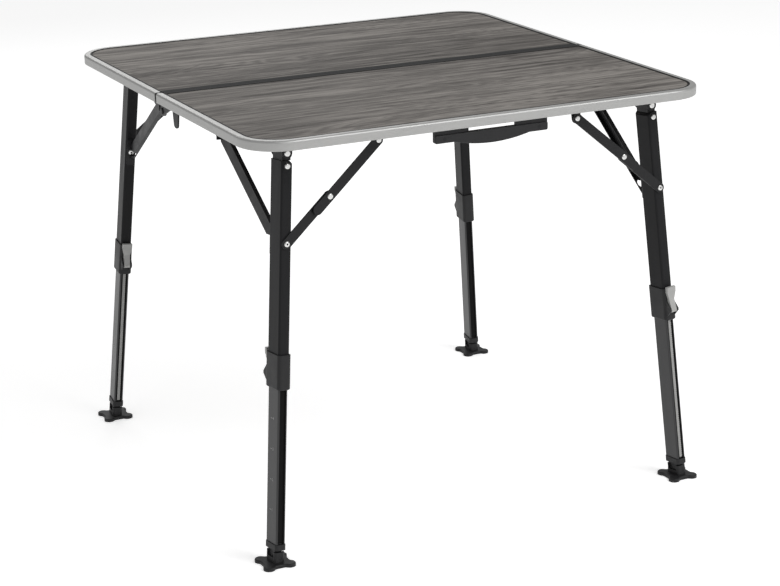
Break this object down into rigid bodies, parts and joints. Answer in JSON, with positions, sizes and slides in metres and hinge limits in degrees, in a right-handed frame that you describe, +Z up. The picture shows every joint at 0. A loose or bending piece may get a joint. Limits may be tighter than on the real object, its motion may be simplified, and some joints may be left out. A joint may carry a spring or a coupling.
{
  "type": "folding camping table",
  "caption": "Square folding camping table: wood-grain halves in an aluminium rim, hinged at a seam, on splayed telescopic folding legs.",
  "frame": {"origin": "on the floor, under the centre of the table top", "axes": "+Z up, X along the seam between the halves, -Y to the side with the carry handle"},
  "size_m": [0.8526, 0.86, 0.725],
  "materials": {
    "rim": "satin anodised extrusion",
    "board": "grey wood-grain laminate",
    "seam_edge": "dark grey edge profile",
    "leg_tube": "black anodised",
    "inner_tube": "black anodised, brushed",
    "black_sheet": "black powder coat",
    "moulding": "fine textured moulding",
    "lever": "light grey moulding",
    "rivet": "bright plated"
  },
  "bodies": {
    "front_half": {"rim_front": "rim", "board_front": "board", "seam_edge_front": "seam_edge", "hinge_leaves_front": "black_sheet", "leg_brackets_front": "black_sheet", "bracket_rivets_front": "rivet", "hinge_pins": "black_sheet", "handle": "moulding", "handle_mounts": "black_sheet", "handle_screws": "black_sheet"},
    "back_half": {"rim_back": "rim", "board_back": "board", "seam_edge_back": "seam_edge", "hinge_leaves_back": "black_sheet", "leg_brackets_back": "black_sheet", "bracket_rivets_back": "rivet"},
    "front_left_leg": {"front_left_leg_tube": "leg_tube", "front_left_top_plug": "moulding", "front_left_clamp_sleeve": "moulding", "front_left_side_brace": "black_sheet", "front_left_leg_rivets": "rivet"},
    "front_left_lever": {"front_left_clamp_lever": "lever"},
    "front_left_inner_leg": {"front_left_inner_tube": "inner_tube", "front_left_end_cap": "moulding"},
    "front_left_foot_body": {"front_left_foot": "moulding"},
    "front_left_upper_link_body": {"front_left_upper_link": "black_sheet"},
    "front_left_lower_link_body": {"front_left_lower_link": "black_sheet"},
    "front_right_leg": {"front_right_leg_tube": "leg_tube", "front_right_top_plug": "moulding", "front_right_clamp_sleeve": "moulding", "front_right_side_brace": "black_sheet", "front_right_leg_rivets": "rivet"},
    "front_right_lever": {"front_right_clamp_lever": "lever"},
    "front_right_inner_leg": {"front_right_inner_tube": "inner_tube", "front_right_end_cap": "moulding"},
    "front_right_foot_body": {"front_right_foot": "moulding"},
    "front_right_upper_link_body": {"front_right_upper_link": "black_sheet"},
    "front_right_lower_link_body": {"front_right_lower_link": "black_sheet"},
    "back_left_leg": {"back_left_leg_tube": "leg_tube", "back_left_top_plug": "moulding", "back_left_clamp_sleeve": "moulding", "back_left_side_brace": "black_sheet", "back_left_leg_rivets": "rivet"},
    "back_left_lever": {"back_left_clamp_lever": "lever"},
    "back_left_inner_leg": {"back_left_inner_tube": "inner_tube", "back_left_end_cap": "moulding"},
    "back_left_foot_body": {"back_left_foot": "moulding"},
    "back_left_upper_link_body": {"back_left_upper_link": "black_sheet"},
    "back_left_lower_link_body": {"back_left_lower_link": "black_sheet"},
    "back_right_leg": {"back_right_leg_tube": "leg_tube", "back_right_top_plug": "moulding", "back_right_clamp_sleeve": "moulding", "back_right_side_brace": "black_sheet", "back_right_leg_rivets": "rivet"},
    "back_right_lever": {"back_right_clamp_lever": "lever"},
    "back_right_inner_leg": {"back_right_inner_tube": "inner_tube", "back_right_end_cap": "moulding"},
    "back_right_foot_body": {"back_right_foot": "moulding"},
    "back_right_upper_link_body": {"back_right_upper_link": "black_sheet"},
    "back_right_lower_link_body": {"back_right_lower_link": "black_sheet"}
  },
  "joints": [
    {"name": "top_fold", "type": "hinge", "parent": "front_half", "child": "back_half", "pos_m": [0, 0, 0.6925], "axis": [-1, 0, 0], "range_deg": [0, 45]},
    {"name": "front_left_fold", "type": "hinge", "parent": "front_half", "child": "front_left_leg", "pos_m": [-0.343, -0.3475, 0.687], "axis": [0.0922, -0.994, 0.0582], "range_deg": [0, 92.88]},
    {"name": "front_left_upper_link_turn", "type": "hinge", "parent": "front_half", "child": "front_left_upper_link_body", "pos_m": [-0.17871, -0.33226, 0.687], "axis": [0.0922, -0.994, 0.0582], "range_deg": [-32.82, 0]},
    {"name": "front_left_lower_link_turn", "type": "hinge", "parent": "front_left_leg", "child": "front_left_lower_link_body", "pos_m": [-0.35463, -0.35712, 0.54128], "axis": [0.0922, -0.994, 0.0582], "range_deg": [0, 52.7]},
    {"name": "front_left_extend", "type": "slide", "parent": "front_left_leg", "child": "front_left_inner_leg", "axis": [0.0794, 0.0656, 0.9947], "range_m": [0, 0.2]},
    {"name": "front_left_clamp", "type": "hinge", "parent": "front_left_leg", "child": "front_left_lever", "pos_m": [-0.37484, -0.34333, 0.3193], "axis": [-0.9926, -0.0871, 0.085], "range_deg": [0, 80]},
    {"name": "front_left_foot_tilt", "type": "hinge", "parent": "front_left_inner_leg", "child": "front_left_foot_body", "pos_m": [-0.3967, -0.39192, 0.014], "axis": [0.0922, -0.994, 0.0582], "range_deg": [-12, 12]},
    {"name": "front_right_fold", "type": "hinge", "parent": "front_half", "child": "front_right_leg", "pos_m": [0.343, -0.3475, 0.687], "axis": [-0.0921, 0.9931, -0.0729], "range_deg": [0, 88.17]},
    {"name": "front_right_upper_link_turn", "type": "hinge", "parent": "front_half", "child": "front_right_upper_link_body", "pos_m": [0.17871, -0.36274, 0.687], "axis": [-0.0921, 0.9931, -0.0729], "range_deg": [-32.52, 0]},
    {"name": "front_right_lower_link_turn", "type": "hinge", "parent": "front_right_leg", "child": "front_right_lower_link_body", "pos_m": [0.35463, -0.35712, 0.54128], "axis": [-0.0921, 0.9931, -0.0729], "range_deg": [0, 52.24]},
    {"name": "front_right_extend", "type": "slide", "parent": "front_right_leg", "child": "front_right_inner_leg", "axis": [-0.0794, 0.0656, 0.9947], "range_m": [0, 0.2]},
    {"name": "front_right_clamp", "type": "hinge", "parent": "front_right_leg", "child": "front_right_lever", "pos_m": [0.37484, -0.39996, 0.32304], "axis": [0.9926, 0.0974, 0.0728], "range_deg": [0, 80]},
    {"name": "front_right_foot_tilt", "type": "hinge", "parent": "front_right_inner_leg", "child": "front_right_foot_body", "pos_m": [0.3967, -0.39192, 0.014], "axis": [-0.0921, 0.9931, -0.0729], "range_deg": [-12, 12]},
    {"name": "back_left_fold", "type": "hinge", "parent": "back_half", "child": "back_left_leg", "pos_m": [-0.343, 0.3475, 0.687], "axis": [-0.0922, -0.994, -0.0582], "range_deg": [0, 92.88]},
    {"name": "back_left_upper_link_turn", "type": "hinge", "parent": "back_half", "child": "back_left_upper_link_body", "pos_m": [-0.17871, 0.33226, 0.687], "axis": [-0.0922, -0.994, -0.0582], "range_deg": [-32.82, 0]},
    {"name": "back_left_lower_link_turn", "type": "hinge", "parent": "back_left_leg", "child": "back_left_lower_link_body", "pos_m": [-0.35463, 0.35712, 0.54128], "axis": [-0.0922, -0.994, -0.0582], "range_deg": [0, 52.7]},
    {"name": "back_left_extend", "type": "slide", "parent": "back_left_leg", "child": "back_left_inner_leg", "axis": [0.0794, -0.0656, 0.9947], "range_m": [0, 0.2]},
    {"name": "back_left_clamp", "type": "hinge", "parent": "back_left_leg", "child": "back_left_lever", "pos_m": [-0.37484, 0.34333, 0.3193], "axis": [0.9926, -0.0871, -0.085], "range_deg": [0, 80]},
    {"name": "back_left_foot_tilt", "type": "hinge", "parent": "back_left_inner_leg", "child": "back_left_foot_body", "pos_m": [-0.3967, 0.39192, 0.014], "axis": [-0.0922, -0.994, -0.0582], "range_deg": [-12, 12]},
    {"name": "back_right_fold", "type": "hinge", "parent": "back_half", "child": "back_right_leg", "pos_m": [0.343, 0.3475, 0.687], "axis": [0.0921, 0.9931, 0.0729], "range_deg": [0, 88.17]},
    {"name": "back_right_upper_link_turn", "type": "hinge", "parent": "back_half", "child": "back_right_upper_link_body", "pos_m": [0.17871, 0.36274, 0.687], "axis": [0.0921, 0.9931, 0.0729], "range_deg": [-32.52, 0]},
    {"name": "back_right_lower_link_turn", "type": "hinge", "parent": "back_right_leg", "child": "back_right_lower_link_body", "pos_m": [0.35463, 0.35712, 0.54128], "axis": [0.0921, 0.9931, 0.0729], "range_deg": [0, 52.24]},
    {"name": "back_right_extend", "type": "slide", "parent": "back_right_leg", "child": "back_right_inner_leg", "axis": [-0.0794, -0.0656, 0.9947], "range_m": [0, 0.2]},
    {"name": "back_right_clamp", "type": "hinge", "parent": "back_right_leg", "child": "back_right_lever", "pos_m": [0.37484, 0.39996, 0.32304], "axis": [-0.9926, 0.0974, -0.0728], "range_deg": [0, 80]},
    {"name": "back_right_foot_tilt", "type": "hinge", "parent": "back_right_inner_leg", "child": "back_right_foot_body", "pos_m": [0.3967, 0.39192, 0.014], "axis": [0.0921, 0.9931, 0.0729], "range_deg": [-12, 12]}
  ],
  "couplings": [
    {"joint": "front_left_upper_link_turn", "follows": "front_left_fold", "ratio": -0.35333},
    {"joint": "front_left_lower_link_turn", "follows": "front_left_fold", "ratio": 0.56744},
    {"joint": "front_right_upper_link_turn", "follows": "front_right_fold", "ratio": -0.36887},
    {"joint": "front_right_lower_link_turn", "follows": "front_right_fold", "ratio": 0.59254},
    {"joint": "back_left_upper_link_turn", "follows": "back_left_fold", "ratio": -0.35333},
    {"joint": "back_left_lower_link_turn", "follows": "back_left_fold", "ratio": 0.56744},
    {"joint": "back_right_upper_link_turn", "follows": "back_right_fold", "ratio": -0.36887},
    {"joint": "back_right_lower_link_turn", "follows": "back_right_fold", "ratio": 0.59254}
  ]
}
